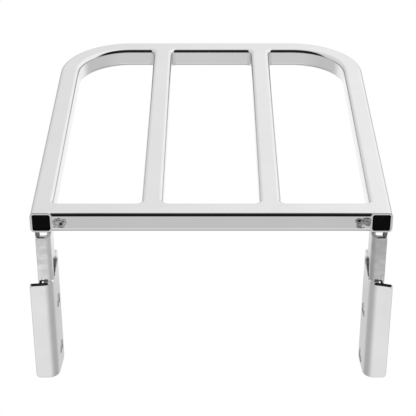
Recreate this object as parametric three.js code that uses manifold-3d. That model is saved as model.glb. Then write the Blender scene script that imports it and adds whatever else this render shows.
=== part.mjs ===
// A welded, chrome-plated luggage rack for the uprights of a motorcycle backrest.
// A U-bent square tube, a front cross tube and two slats make the deck. Under each front corner a
// strut carries a mounting plate with two bolt holes. The deck is level, its tail points to +Y, and
// the origin is the centre of the front cross tube's top face. Millimetres, +Z up.
import * as THREE from "three";
import { mergeVertices } from "three/addons/utils/BufferGeometryUtils.js";
import Module from "manifold-3d";

const wasm = await Module();
wasm.setup();

// Deck
const RACK_WIDTH = 243; // over the two side rails
const RACK_LENGTH = 280; // from the rails' front ends to the rear face
const BEND_RADIUS = 55; // outer plan radius of the two rear bends
const TUBE = 15; // square tube, outside
const TUBE_WALL = 1.5;
const TUBE_CORNER = 3; // outer corner radius of the tube's section
const BORE_CORNER = 1.5; // corner radius of the tube's bore
const SLAT_OFFSET = 40; // from the mid-plane to a slat's centre line
const GAP = 0.3; // left between pieces that touch

// End plugs
const PLUG_RECESS = 0.4; // from the tube's end to the plug's face
const PLUG_FACE = 2; // thickness of the plug's face plate
const PLUG_LENGTH = 14;
const PLUG_WALL = 1.2;
const PLUG_CORNER = 2;
const PLUG_EDGE = 0.4; // rounding of the face plate's rim
const FIN_COUNT = 3;
const FIN_THICKNESS = 0.9;
const FIN_HEIGHT = 1; // how far a fin stands out of the plug's stem

// Brackets, bent from plate. Drops are measured down from the deck's top.
const PLATE = 3;
const WEB_INSET = 12.2; // from the rail's outer face to the web's inner face, at the front
const WEB_TOE = 0.075; // the webs close in by this much for each millimetre to the rear
const STRUT_EDGE_INSET = 2.3; // from the rail's outer face to the strut's free edge
const STRUT_BEND = 5; // outer bend radius
const STRUT_DEPTH = 13.7;
const STRUT_SLIT = 5.3; // open slit between the rail and the top edge of the strut's flange
const STRUT_TONGUE = 6; // length of strut flange that laps behind the mounting plate
const MOUNT_EDGE_OVERHANG = 3.5; // mounting flange's free edge outside the rail's outer face
const MOUNT_BEND = 8; // outer bend radius
const MOUNT_DEPTH = 25.5;
const MOUNT_TOP_DROP = 56.7;
const MOUNT_HEIGHT = 80.4; // of the mounting plate's flange
const WEB_RISE = 13; // how far the mounting web climbs above its flange at the rear
const WEB_SEAM_START = 7; // where the sloping seam starts, behind the front face
const WEB_SEAM_RUN = 11; // level length of the sloping seam
const FLANGE_CORNER = 3;
const WEB_CORNER = 4;
const HOLE_DIAMETER = 10;
const HOLE_SPACING = 40.3;
const HOLE_SETBACK = 17.8; // hole centre behind the front face
const UPPER_HOLE_DROP = { left: 82, right: 90.3 };
const FLANGE_TOP_FALL = { left: 0.6, right: 1.5 }; // from the bend to the flange's free edge

// Weld deposits
const FILLET_LEG = 4; // slat to cross tube and slat to rear tube
const FILLET_LIP = 0.25; // thickness of a fillet's thin edges
const CORNER_FILLET_LEG = 2.6; // rail to front cross tube
const PAD_WIDTH = 8.6; // ground weld on the front face beside each plug
const PAD_THICKNESS = 0.5;
const PAD_CORNER = 3; // towards the cross tube's middle
const PAD_EDGE_CORNER = 1; // beside the rail
const BEAD_RADIUS = 1.6; // along the web seam
const SEAM_COVER = 0.8; // share of the sloping seam under its bead
const TOP_BEAD = 2.4; // strut web to rail
const LAP_BEAD = 2; // top edge of the mounting plate's bend to the strut
const LAP_BEAD_LENGTH = 3.6;
const LAP_BEAD_INSET = 2.7; // from the web's inner face to the bead's inner end
const TACK_RADIUS = 1.1;
const TACK_BULGE = 0.5;
const TACK_SHOULDER = 0.3; // share of the tack's height below and above its bulge

// Worked out from the sizes above
const FRONT_Y = -TUBE / 2;
const REAR_Y = FRONT_Y + RACK_LENGTH;
const RAIL_OUT = RACK_WIDTH / 2;
const RAIL_IN = RAIL_OUT - TUBE;
const BORE = TUBE - 2 * TUBE_WALL;
const STRUT_SETBACK = PLATE + GAP; // the strut's flange lies behind the mounting plate's flange
const CROSS_BACK_Y = FRONT_Y + TUBE;
const MOUNT_BOTTOM = -MOUNT_TOP_DROP - MOUNT_HEIGHT;
const FLANGE_TOP = -MOUNT_TOP_DROP;
const SEAM_LENGTH = Math.hypot(WEB_RISE, WEB_SEAM_RUN);

// Steps in which round shapes are drawn
const ARC_STEPS = 9; // each bend of the perimeter tube
const CORNER_STEPS = 2; // corners of the tubes' sections
const EDGE_STEPS = 3; // rounded edges of a slab
const PLATE_STEPS = 3; // bends and corners of the brackets, and the fillets
const BEAD_STEPS = 4;
const TACK_STEPS = 16;
const HOLE_STEPS = 32;
const MERGE_DISTANCE = 1e-4;

const chrome = new THREE.MeshStandardMaterial({ color: 0xd8dadc, metalness: 1, roughness: 0.06 });
const weldMetal = new THREE.MeshStandardMaterial({ color: 0xc4c6c8, metalness: 1, roughness: 0.28 });
const blackPlastic = new THREE.MeshStandardMaterial({ color: 0x0b0b0c, metalness: 0, roughness: 0.45 });

// A closed outline through points [x, y, radius], each corner rounded by its own radius.
function roundedShape(points) {
  const shape = new THREE.Shape();
  points.forEach(([x, y, radius = 0], i) => {
    const corner = new THREE.Vector2(x, y);
    const before = new THREE.Vector2(...points.at(i - 1).slice(0, 2)).sub(corner).normalize();
    const after = new THREE.Vector2(...points[(i + 1) % points.length].slice(0, 2)).sub(corner).normalize();
    const half = Math.acos(before.dot(after)) / 2;
    const start = corner.clone().addScaledVector(before, radius / Math.tan(half));
    if (i === 0) shape.moveTo(start.x, start.y);
    else shape.lineTo(start.x, start.y);
    if (radius === 0) return;
    const end = corner.clone().addScaledVector(after, radius / Math.tan(half));
    const bisector = before.clone().add(after).normalize();
    const centre = corner.clone().addScaledVector(bisector, radius / Math.sin(half));
    const from = start.sub(centre).angle();
    const to = end.sub(centre).angle();
    shape.absarc(centre.x, centre.y, radius, from, to, before.cross(after) > 0);
  });
  shape.closePath();
  return shape;
}

function square(side, radius) {
  const h = side / 2;
  return roundedShape([[-h, -h, radius], [h, -h, radius], [h, h, radius], [-h, h, radius]]);
}

// An outline raised from z = 0, with square edges.
function prism(shape, height, curveSegments = CORNER_STEPS) {
  return new THREE.ExtrudeGeometry(shape, { depth: height, bevelEnabled: false, curveSegments });
}

// An outline raised to a slab whose upper and lower edges are rounded.
function roundedSlab(shape, height, radius, curveSegments) {
  const geometry = new THREE.ExtrudeGeometry(shape, {
    depth: height - 2 * radius,
    bevelEnabled: true,
    bevelThickness: radius,
    bevelSize: radius,
    bevelOffset: -radius,
    bevelSegments: EDGE_STEPS,
    curveSegments,
  });
  return geometry.translate(0, 0, radius);
}

// Outline drawn in Y and Z, raised along +X from x.
function alongX(geometry, x) {
  const turn = new THREE.Matrix4().makeBasis(
    new THREE.Vector3(0, 1, 0),
    new THREE.Vector3(0, 0, 1),
    new THREE.Vector3(1, 0, 0),
  );
  return geometry.applyMatrix4(turn).translate(x, 0, 0);
}

// Outline drawn in X and Z, raised along -Y and ending at y.
function alongY(geometry, y) {
  return geometry.rotateX(Math.PI / 2).translate(0, y, 0);
}

function box(low, high) {
  const size = high.map((value, i) => value - low[i]);
  const centre = high.map((value, i) => (value + low[i]) / 2);
  return new THREE.BoxGeometry(...size).translate(...centre);
}

function solid(geometry) {
  const bare = new THREE.BufferGeometry();
  bare.setAttribute("position", geometry.getAttribute("position"));
  if (geometry.index) bare.setIndex(geometry.index);
  const merged = mergeVertices(bare, MERGE_DISTANCE);
  const vertProperties = new Float32Array(merged.getAttribute("position").array);
  const triVerts = new Uint32Array(merged.index.array);
  return new wasm.Manifold(new wasm.Mesh({ numProp: 3, vertProperties, triVerts }));
}

function surface(body) {
  const mesh = body.getMesh();
  const geometry = new THREE.BufferGeometry();
  geometry.setAttribute("position", new THREE.BufferAttribute(mesh.vertProperties, 3));
  geometry.setIndex(new THREE.BufferAttribute(mesh.triVerts, 1));
  geometry.computeVertexNormals();
  return geometry;
}

function piece(name, geometry, material) {
  const mesh = new THREE.Mesh(geometry, material);
  mesh.name = name;
  return mesh;
}

// Plan of the bent tube: a U that is open at the front, with its sides moved inwards by inset.
function perimeterPlan(inset, frontY) {
  const out = RAIL_OUT - inset;
  const inner = RAIL_IN + inset;
  const outRadius = BEND_RADIUS - inset;
  const innerRadius = BEND_RADIUS - TUBE + inset;
  return roundedShape([
    [out, frontY],
    [out, REAR_Y - inset, outRadius],
    [-out, REAR_Y - inset, outRadius],
    [-out, frontY],
    [-inner, frontY],
    [-inner, REAR_Y - TUBE + inset, innerRadius],
    [inner, REAR_Y - TUBE + inset, innerRadius],
    [inner, frontY],
  ]);
}

// One square tube bent twice. Its front ends are sawn square and stay open.
function perimeterTube() {
  const pastEnd = FRONT_Y - 2 * TUBE_CORNER;
  const outside = roundedSlab(perimeterPlan(0, pastEnd), TUBE, TUBE_CORNER, ARC_STEPS);
  const bore = roundedSlab(perimeterPlan(TUBE_WALL, pastEnd), BORE, BORE_CORNER, ARC_STEPS);
  const sawn = box([-RACK_WIDTH, pastEnd - TUBE, -TUBE], [RACK_WIDTH, FRONT_Y, TUBE]);
  const body = solid(outside.translate(0, 0, -TUBE))
    .subtract(solid(bore.translate(0, 0, TUBE_WALL - TUBE)))
    .subtract(solid(sawn));
  return surface(body);
}

// The room the bent tube takes, with the clearance that its neighbours keep.
function perimeterRoom() {
  const room = prism(perimeterPlan(-GAP, FRONT_Y - TUBE), 3 * TUBE, ARC_STEPS);
  return solid(room.translate(0, 0, -2 * TUBE));
}

// Section of a straight tube, with its bore as a hole.
function tubeSection() {
  const section = square(TUBE, TUBE_CORNER);
  section.holes.push(square(BORE, BORE_CORNER));
  return section;
}

function frontCrossTube() {
  const half = RAIL_IN - GAP;
  return alongX(prism(tubeSection(), 2 * half).translate(0, -TUBE / 2, 0), -half);
}

// A slat runs from the front cross tube to the rear tube, and is coped to the rear tube.
function slat() {
  const startY = CROSS_BACK_Y + GAP;
  const bar = prism(tubeSection(), REAR_Y - startY).translate(0, -TUBE / 2, 0);
  return surface(solid(alongY(bar, REAR_Y)).subtract(perimeterRoom()));
}

// Concave weld in the corner of two upright faces, in the quarter x > 0, y > 0.
function filletPlan(leg) {
  const shape = new THREE.Shape();
  const arc = leg - GAP - FILLET_LIP;
  shape.moveTo(GAP, GAP);
  shape.lineTo(leg, GAP);
  shape.lineTo(leg, GAP + FILLET_LIP);
  shape.absarc(leg, leg, arc, -Math.PI / 2, Math.PI, true);
  shape.lineTo(GAP, leg);
  shape.closePath();
  return shape;
}

function cornerFillet(leg) {
  return prism(filletPlan(leg), TUBE - TUBE_CORNER, PLATE_STEPS).translate(0, 0, TUBE_CORNER / 2 - TUBE);
}

// Fillet of a slat at the front cross tube. side is +1 or -1 from the slat's centre line.
function slatFrontFillet(side) {
  const fillet = solid(cornerFillet(FILLET_LEG));
  const flipped = side > 0 ? fillet : fillet.mirror([1, 0, 0]);
  return surface(flipped.translate([(side * TUBE) / 2, CROSS_BACK_Y, 0]));
}

// Fillet of a slat at the rear tube, trimmed to the tube.
function slatRearFillet(side) {
  const fillet = solid(cornerFillet(FILLET_LEG)).mirror([0, 1, 0]);
  const flipped = side > 0 ? fillet : fillet.mirror([1, 0, 0]);
  const placed = flipped.translate([SLAT_OFFSET + (side * TUBE) / 2, REAR_Y - TUBE, 0]);
  return surface(placed.subtract(perimeterRoom()).translate([-SLAT_OFFSET, 0, 0]));
}

function crossTubeFillet() {
  const fillet = solid(cornerFillet(CORNER_FILLET_LEG)).mirror([1, 0, 0]);
  return surface(fillet.translate([RAIL_IN, CROSS_BACK_Y, 0]));
}

// Weld ground down on the front face, where the cross tube meets the rail.
function crossTubePad() {
  const low = -TUBE + TUBE_CORNER;
  const high = -TUBE_CORNER;
  const inner = RAIL_IN - PAD_WIDTH;
  const outline = roundedShape([
    [inner, low, PAD_CORNER],
    [RAIL_IN, low, PAD_EDGE_CORNER],
    [RAIL_IN, high, PAD_EDGE_CORNER],
    [inner, high, PAD_CORNER],
  ]);
  return alongY(prism(outline, PAD_THICKNESS), FRONT_Y - GAP);
}

// Moulded plug: a face plate, a hollow stem behind it and fins that grip the bore.
function endPlug() {
  const face = BORE - 2 * GAP;
  const stem = face - 2 * FIN_HEIGHT;
  const pitch = (PLUG_LENGTH - PLUG_FACE - FIN_THICKNESS) / FIN_COUNT;
  let body = solid(roundedSlab(square(face, PLUG_CORNER), PLUG_FACE, PLUG_EDGE, CORNER_STEPS));
  const stemBody = prism(square(stem, PLUG_CORNER), PLUG_LENGTH - PLUG_EDGE);
  body = body.add(solid(stemBody.translate(0, 0, PLUG_EDGE)));
  for (let i = 1; i <= FIN_COUNT; i += 1) {
    const fin = prism(square(face, PLUG_CORNER), FIN_THICKNESS);
    body = body.add(solid(fin.translate(0, 0, PLUG_FACE + i * pitch)));
  }
  const pocket = prism(square(stem - 2 * PLUG_WALL, BORE_CORNER), PLUG_LENGTH);
  body = body.subtract(solid(pocket.translate(0, 0, PLUG_FACE)));
  const seated = surface(body).rotateX(-Math.PI / 2);
  return seated.translate(RAIL_OUT - TUBE / 2, FRONT_Y + PLUG_RECESS, -TUBE / 2);
}

// The web's inner face, which leans inwards to the rear: its x at a distance behind the front face.
function webX(back) {
  return RAIL_OUT - WEB_INSET - WEB_TOE * back;
}

// Where the mounting flange's flat starts, outside its bend.
function flangeStart() {
  const halfBend = (Math.PI / 2 - Math.atan(WEB_TOE)) / 2;
  return webX(0) + MOUNT_BEND * Math.tan(halfBend);
}

// Plan of a plate bent to an angle: a flange across the front and a web running back.
function anglePlan(edgeX, front, bend, depth) {
  const rear = front + depth;
  const thick = PLATE * Math.hypot(1, WEB_TOE);
  return roundedShape([
    [edgeX, FRONT_Y + front],
    [webX(front), FRONT_Y + front, bend],
    [webX(rear), FRONT_Y + rear],
    [webX(rear) + thick, FRONT_Y + rear],
    [webX(front + PLATE) + thick, FRONT_Y + front + PLATE, bend - PLATE],
    [edgeX, FRONT_Y + front + PLATE],
  ]);
}

// Side outline of the mounting plate, moved up by lift: the flange's top, the sloping seam, the web's top.
function mountSide(lift) {
  const seamStart = FRONT_Y + WEB_SEAM_START;
  const seamEnd = seamStart + WEB_SEAM_RUN;
  const flangeTop = FLANGE_TOP + lift;
  return roundedShape([
    [FRONT_Y - PLATE, MOUNT_BOTTOM],
    [FRONT_Y + MOUNT_DEPTH, MOUNT_BOTTOM, WEB_CORNER],
    [FRONT_Y + MOUNT_DEPTH, flangeTop + WEB_RISE, WEB_CORNER / 2],
    [seamEnd, flangeTop + WEB_RISE],
    [seamStart, flangeTop],
    [FRONT_Y - PLATE, flangeTop],
  ]);
}

function strut() {
  const edgeX = RAIL_OUT - STRUT_EDGE_INSET;
  const top = -TUBE - GAP;
  const bottom = FLANGE_TOP - STRUT_TONGUE;
  const behindBend = FRONT_Y + STRUT_SETBACK + STRUT_BEND;
  const tongueX = flangeStart() + GAP;
  const plan = anglePlan(edgeX, STRUT_SETBACK, STRUT_BEND, STRUT_DEPTH);
  const bent = prism(plan, top - bottom, PLATE_STEPS);
  const slit = box([0, FRONT_Y, -TUBE - STRUT_SLIT], [RACK_WIDTH, behindBend, 0]);
  const besideTongue = box([0, FRONT_Y - PLATE, bottom - PLATE], [tongueX, REAR_Y, FLANGE_TOP + GAP]);
  const lift = (GAP * SEAM_LENGTH) / WEB_SEAM_RUN; // leaves GAP square to the sloping seam
  const mountRoom = alongX(prism(mountSide(lift), tongueX), 0);
  const body = solid(bent.translate(0, 0, bottom))
    .subtract(solid(slit))
    .subtract(solid(besideTongue))
    .subtract(solid(mountRoom));
  return surface(body);
}

function boltHole(drop) {
  const length = 6 * PLATE; // well past both faces of the leaning web
  const drill = new THREE.CylinderGeometry(HOLE_DIAMETER / 2, HOLE_DIAMETER / 2, length, HOLE_STEPS);
  drill.rotateZ(Math.PI / 2).rotateZ(Math.atan(WEB_TOE));
  return solid(drill.translate(webX(HOLE_SETBACK), FRONT_Y + HOLE_SETBACK, -drop));
}

function mountPlate(upperDrop, topFall) {
  const edgeX = RAIL_OUT + MOUNT_EDGE_OVERHANG;
  const height = MOUNT_HEIGHT + WEB_RISE + PLATE;
  const bent = prism(anglePlan(edgeX, 0, MOUNT_BEND, MOUNT_DEPTH), height, PLATE_STEPS);
  const side = alongX(prism(mountSide(0), edgeX + PLATE, PLATE_STEPS), 0);
  const frontOutline = roundedShape([
    [0, MOUNT_BOTTOM],
    [edgeX, MOUNT_BOTTOM, FLANGE_CORNER],
    [edgeX, FLANGE_TOP - topFall],
    [flangeStart(), FLANGE_TOP],
    [flangeStart(), 0],
    [0, 0],
  ]);
  const frontRoom = prism(frontOutline, 2 * MOUNT_DEPTH, PLATE_STEPS);
  const front = alongY(frontRoom, FRONT_Y + MOUNT_DEPTH + PLATE);
  const body = solid(bent.translate(0, 0, MOUNT_BOTTOM))
    .intersect(solid(side))
    .intersect(solid(front))
    .subtract(boltHole(upperDrop))
    .subtract(boltHole(upperDrop + HOLE_SPACING));
  return surface(body);
}

// Half-round bead of the given length along +Z, with its flat on x = 0 and its crown to -x.
function halfRound(radius, length) {
  const shape = new THREE.Shape();
  shape.absarc(0, 0, radius, Math.PI / 2, (3 * Math.PI) / 2, false);
  shape.closePath();
  return prism(shape, length, BEAD_STEPS);
}

// Bead over the sloping seam between the strut's web and the mounting plate's web.
function seamBead() {
  const slope = Math.atan2(WEB_RISE, WEB_SEAM_RUN);
  const length = SEAM_LENGTH * SEAM_COVER;
  const middle = WEB_SEAM_START + WEB_SEAM_RUN / 2;
  const bead = halfRound(BEAD_RADIUS, length).translate(0, 0, -length / 2);
  bead.rotateX(slope - Math.PI / 2).rotateZ(Math.atan(WEB_TOE));
  return bead.translate(webX(middle) - GAP, FRONT_Y + middle, FLANGE_TOP + WEB_RISE / 2);
}

// Bead in the corner of the strut's web and the rail's underside, on the inner side of the web.
function topBead() {
  const start = STRUT_SETBACK + STRUT_BEND;
  const length = STRUT_SETBACK + STRUT_DEPTH - start;
  const shape = new THREE.Shape();
  shape.moveTo(0, 0);
  shape.lineTo(-TOP_BEAD, 0);
  const hollow = TOP_BEAD / 3; // how near its face comes to the corner
  shape.quadraticCurveTo(-hollow, -hollow, 0, -TOP_BEAD);
  shape.closePath();
  const bead = prism(shape, length, BEAD_STEPS).rotateX(Math.PI / 2).rotateZ(Math.atan(WEB_TOE));
  return bead.translate(webX(start + length) - GAP, FRONT_Y + start + length, -TUBE - GAP);
}

// Drop of weld metal that bridges the slit at the free edge of the strut's flange.
function cornerTack() {
  const height = STRUT_SLIT - 2 * GAP;
  const bulge = TACK_RADIUS + TACK_BULGE;
  const profile = [
    new THREE.Vector2(0, 0),
    new THREE.Vector2(TACK_RADIUS, 0),
    new THREE.Vector2(bulge, height * TACK_SHOULDER),
    new THREE.Vector2(bulge, height * (1 - TACK_SHOULDER)),
    new THREE.Vector2(TACK_RADIUS, height),
    new THREE.Vector2(0, height),
  ];
  const tack = new THREE.LatheGeometry(profile, TACK_STEPS).rotateX(Math.PI / 2);
  const x = RAIL_OUT - STRUT_EDGE_INSET - bulge;
  const y = FRONT_Y + STRUT_SETBACK + PLATE / 2;
  return surface(solid(tack)).translate(x, y, -TUBE - STRUT_SLIT + GAP);
}

// Short bead on the top edge of the mounting plate's bend, against the strut's bend.
function lapBead() {
  const corner = FRONT_Y + STRUT_SETBACK - GAP;
  const shape = new THREE.Shape();
  shape.moveTo(corner, 0);
  shape.lineTo(corner, LAP_BEAD);
  shape.quadraticCurveTo(corner - LAP_BEAD, LAP_BEAD, corner - LAP_BEAD, 0);
  shape.closePath();
  const bead = alongX(prism(shape, LAP_BEAD_LENGTH, BEAD_STEPS), webX(0) + LAP_BEAD_INSET);
  return bead.translate(0, 0, FLANGE_TOP + GAP);
}

// Everything on one side of the mid-plane, drawn for the right side.
function side(name) {
  const group = new THREE.Group();
  const slatLine = new THREE.Group();
  slatLine.position.x = SLAT_OFFSET;
  slatLine.add(
    piece(`slat_${name}`, slat(), chrome),
    piece(`slat_front_weld_outer_${name}`, slatFrontFillet(1), weldMetal),
    piece(`slat_front_weld_inner_${name}`, slatFrontFillet(-1), weldMetal),
    piece(`slat_rear_weld_outer_${name}`, slatRearFillet(1), weldMetal),
    piece(`slat_rear_weld_inner_${name}`, slatRearFillet(-1), weldMetal),
  );
  group.add(
    slatLine,
    piece(`end_plug_${name}`, endPlug(), blackPlastic),
    piece(`cross_tube_front_weld_${name}`, crossTubePad(), weldMetal),
    piece(`cross_tube_corner_weld_${name}`, crossTubeFillet(), weldMetal),
    piece(`strut_${name}`, strut(), chrome),
    piece(`strut_top_weld_${name}`, topBead(), weldMetal),
    piece(`strut_corner_tack_${name}`, cornerTack(), weldMetal),
    piece(`mount_plate_${name}`, mountPlate(UPPER_HOLE_DROP[name], FLANGE_TOP_FALL[name]), chrome),
    piece(`web_seam_weld_${name}`, seamBead(), weldMetal),
    piece(`flange_top_weld_${name}`, lapBead(), weldMetal),
  );
  return group;
}

const rack = new THREE.Group();
rack.add(piece("perimeter_tube", perimeterTube(), chrome));
rack.add(piece("front_cross_tube", frontCrossTube(), chrome));
rack.add(side("right"));
const leftSide = side("left");
leftSide.scale.x = -1;
rack.add(leftSide);

export default rack;
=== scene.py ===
import math

import bmesh
import bpy
import numpy as np
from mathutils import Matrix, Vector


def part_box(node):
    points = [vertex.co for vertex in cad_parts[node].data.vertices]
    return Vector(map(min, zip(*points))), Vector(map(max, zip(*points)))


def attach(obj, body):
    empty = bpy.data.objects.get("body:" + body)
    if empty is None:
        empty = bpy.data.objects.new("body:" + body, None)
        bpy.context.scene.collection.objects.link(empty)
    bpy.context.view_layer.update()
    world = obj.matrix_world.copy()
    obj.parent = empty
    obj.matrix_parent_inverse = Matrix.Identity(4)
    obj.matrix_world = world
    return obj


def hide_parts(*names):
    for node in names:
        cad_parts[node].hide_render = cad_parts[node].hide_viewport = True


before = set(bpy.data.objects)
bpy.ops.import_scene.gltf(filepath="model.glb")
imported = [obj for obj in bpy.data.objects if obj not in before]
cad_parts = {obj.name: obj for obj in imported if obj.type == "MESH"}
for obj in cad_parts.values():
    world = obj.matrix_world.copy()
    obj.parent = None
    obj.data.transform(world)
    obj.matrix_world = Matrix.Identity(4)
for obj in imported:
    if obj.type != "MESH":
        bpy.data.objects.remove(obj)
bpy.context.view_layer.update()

# ---------------------------------------------------------------------------------------------
# The bent rail tube: 15 mm square steel tube with a 1.5 mm wall, drawn round two formers into a
# U and sawn square at its front ends. It is polished, then bright chrome plated.
# ---------------------------------------------------------------------------------------------
MM = 0.001
TUBE_WALL = 1.5 * MM
TUBE_CORNER = 3.0 * MM
BORE_CORNER = 1.5 * MM
BEND_RADIUS = 55 * MM  # outside of the bend, in plan
SAWN_LIP = 0.2 * MM  # deburred edge of a sawn end
EASE = 0.25 * MM  # narrow strip beside each rounded edge, which keeps the flats looking flat
BEND_STEPS = 60
CORNER_STEPS = 8
SHARP_ANGLE = 30  # degrees: a fold steeper than this stays crisp

rail_low, rail_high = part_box("perimeter_tube")
TUBE = rail_high.z - rail_low.z
DECK_TOP = rail_high.z
TUBE_MIDDLE_Z = DECK_TOP - TUBE / 2
FRONT_Y, REAR_Y = rail_low.y, rail_high.y
RAIL_X = rail_high.x - TUBE / 2  # centre line of the right rail


def linear(hex_colour):
    """sRGB hex to linear RGBA: c / 12.92 near black, else ((c + 0.055) / 1.055) to the power 2.4."""
    channels = [int(hex_colour[i : i + 2], 16) / 255 for i in (1, 3, 5)]
    return [c / 12.92 if c <= 0.04045 else ((c + 0.055) / 1.055) ** 2.4 for c in channels] + [1.0]


def node(tree, kind, settings=None, inputs=None):
    """One shader node: its properties, then its inputs, each given a value or linked to an output."""
    made = tree.nodes.new(kind)
    for key, value in (settings or {}).items():
        setattr(made, key, value)
    for key, value in (inputs or {}).items():
        if isinstance(value, bpy.types.NodeSocket):
            tree.links.new(value, made.inputs[key])
        else:
            made.inputs[key].default_value = value
    return made


def chrome(name, bright, deep, cloud_size, roughness, wave, height, ripple, ripple_height):
    """Decorative chrome is a clear mirror, nearly neutral. Its brightness and gloss drift over
    cloud_size; polishing waves under the plate bend its reflections, and a finer ripple breaks them."""
    material = bpy.data.materials.new(name)
    material.use_nodes = True
    tree = material.node_tree
    shader = tree.nodes["Principled BSDF"]
    shader.inputs["Metallic"].default_value = 1.0
    place = node(tree, "ShaderNodeTexCoord").outputs["Object"]
    cloud = node(tree, "ShaderNodeTexNoise", inputs={"Vector": place, "Scale": 1 / cloud_size, "Detail": 4.0})
    tint = node(tree, "ShaderNodeMix", {"data_type": "RGBA"},
                {"Factor": cloud.outputs["Fac"], 6: linear(bright), 7: linear(deep)})
    gloss = node(tree, "ShaderNodeMapRange", inputs={"Value": cloud.outputs["Fac"], "From Min": 0.3,
                 "From Max": 0.7, "To Min": roughness[0], "To Max": roughness[1]})
    waves = node(tree, "ShaderNodeTexNoise", inputs={"Vector": place, "Scale": 1 / wave, "Detail": 1.0})
    ripples = node(tree, "ShaderNodeTexNoise", inputs={"Vector": place, "Scale": 1 / ripple, "Detail": 2.0})
    wavy = node(tree, "ShaderNodeBump", inputs={"Height": waves.outputs["Fac"], "Distance": height})
    rippled = node(tree, "ShaderNodeBump", inputs={"Height": ripples.outputs["Fac"],
                   "Distance": ripple_height, "Normal": wavy.outputs["Normal"]})
    tree.links.new(tint.outputs[2], shader.inputs["Base Color"])
    tree.links.new(gloss.outputs["Result"], shader.inputs["Roughness"])
    tree.links.new(rippled.outputs["Normal"], shader.inputs["Normal"])
    return material


def add_piece(name, points, faces, material, slot, *replaced):
    """One closed mesh with its faces out, smooth but for crisp folds. It rides on the rack."""
    mesh = bpy.data.meshes.new(name)
    mesh.from_pydata(np.asarray(points, float).reshape(-1, 3).tolist(), [], faces)
    shell = bmesh.new()
    shell.from_mesh(mesh)
    bmesh.ops.recalc_face_normals(shell, faces=shell.faces)
    shell.to_mesh(mesh)
    shell.free()
    mesh.polygons.foreach_set("use_smooth", [True] * len(mesh.polygons))
    mesh.set_sharp_from_angle(angle=math.radians(SHARP_ANGLE))
    mesh.materials.append(material)
    piece = bpy.data.objects.new(name, mesh)
    bpy.context.scene.collection.objects.link(piece)
    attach(piece, "root")
    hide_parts(*replaced)
    return piece


def grid_faces(rows, columns, close_rows=False, close_columns=False):
    """Quads of a grid of points laid row after row, and wrapped round where it closes."""
    r = np.arange(rows if close_rows else rows - 1)[:, None]
    c = np.arange(columns if close_columns else columns - 1)[None, :]
    down, across = (r + 1) % rows, (c + 1) % columns
    quads = [r * columns + c, r * columns + across, down * columns + across, down * columns + c]
    return np.stack(np.broadcast_arrays(*quads), -1).reshape(-1, 4)


def rounded_square(side, radius):
    """Section of a square tube: four quarter circles, each led in and out by a short bit of flat."""
    turn = np.linspace(0, np.pi / 2, CORNER_STEPS + 1)
    lead = min(EASE, (side / 2 - radius) / 2)
    along = np.concatenate([[radius], radius * np.cos(turn), [-lead]])
    up = np.concatenate([[-lead], radius * np.sin(turn), [radius]])
    corner = np.stack([side / 2 - radius + along, side / 2 - radius + up])
    quarter = np.array([[0, -1], [1, 0]])
    return np.concatenate([(np.linalg.matrix_power(quarter, k) @ corner).T for k in range(4)])


def carry(section, stations, across):
    """A section (a, b) set up at each station of a level path, at station + a * across, height b."""
    plan = stations[:, None, :] + section[None, :, :1] * across[:, None, :]
    height = np.broadcast_to(TUBE_MIDDLE_Z + section[None, :, 1:], plan.shape[:2] + (1,))
    return np.concatenate([plan, height], -1)


def bent_path():
    """Centre line of the U in plan: up the right rail, round two quarter circles, down the left."""
    radius = BEND_RADIUS - TUBE / 2
    turn = np.linspace(0, np.pi / 2, BEND_STEPS + 1)
    centre = np.array([RAIL_X - radius, REAR_Y - TUBE / 2 - radius])
    bend = centre + radius * np.stack([np.cos(turn), np.sin(turn)], -1)
    straight = [[RAIL_X, FRONT_Y], [RAIL_X, FRONT_Y + SAWN_LIP], [RAIL_X, centre[1] - EASE]]
    half = np.vstack([straight, bend, [[centre[0] - EASE, bend[-1, 1]]]])
    across = np.vstack([[[1, 0]] * 3, np.stack([np.cos(turn), np.sin(turn)], -1), [[0, 1]]])
    flip = np.array([-1, 1])
    return np.vstack([half, half[::-1] * flip]), np.vstack([across, across[::-1] * flip])


def rail_tube():
    """Out along the path on the outside and back on the bore. At both ends the outside is a little
    smaller and the bore a little wider, which is the deburred edge."""
    stations, across = bent_path()
    bore = TUBE - 2 * TUBE_WALL
    outside = carry(rounded_square(TUBE, TUBE_CORNER), stations, across)
    inside = carry(rounded_square(bore, BORE_CORNER), stations, across)
    ends = [0, -1]
    small = rounded_square(TUBE - 2 * SAWN_LIP, TUBE_CORNER - SAWN_LIP)
    wide = rounded_square(bore + 2 * SAWN_LIP, BORE_CORNER + SAWN_LIP)
    outside[ends] = carry(small, stations, across)[ends]
    inside[ends] = carry(wide, stations, across)[ends]
    shell = np.concatenate([outside, inside[::-1]])
    return shell, grid_faces(shell.shape[0], shell.shape[1], True, True).tolist()


# Polished tube mirrors almost perfectly: only long, faint waves bend what it shows.
tube_chrome = chrome("bright_chrome_on_polished_tube", "#efefef", "#e6e6e7", cloud_size=30 * MM,
                     roughness=(0.03, 0.05), wave=24 * MM, height=0.03 * MM, ripple=5 * MM,
                     ripple_height=0.0012 * MM)
add_piece("bent_rail_tube", *rail_tube(), tube_chrome, "chrome_tube", "perimeter_tube")


# ---------------------------------------------------------------------------------------------
# Straight tubes of the deck: the front cross tube and two slats of the same tube. Their ends are
# coped to the rounded edges that they meet, welded flush with the deck's top and plated.
# ---------------------------------------------------------------------------------------------
COPE_OVERLAP = 0.1 * MM  # sunk in the neighbour's wall where the weld has joined them
COPED_STATIONS = 9
slat_low, slat_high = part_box("slat_right")
SLAT_X = (slat_low.x + slat_high.x) / 2


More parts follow.
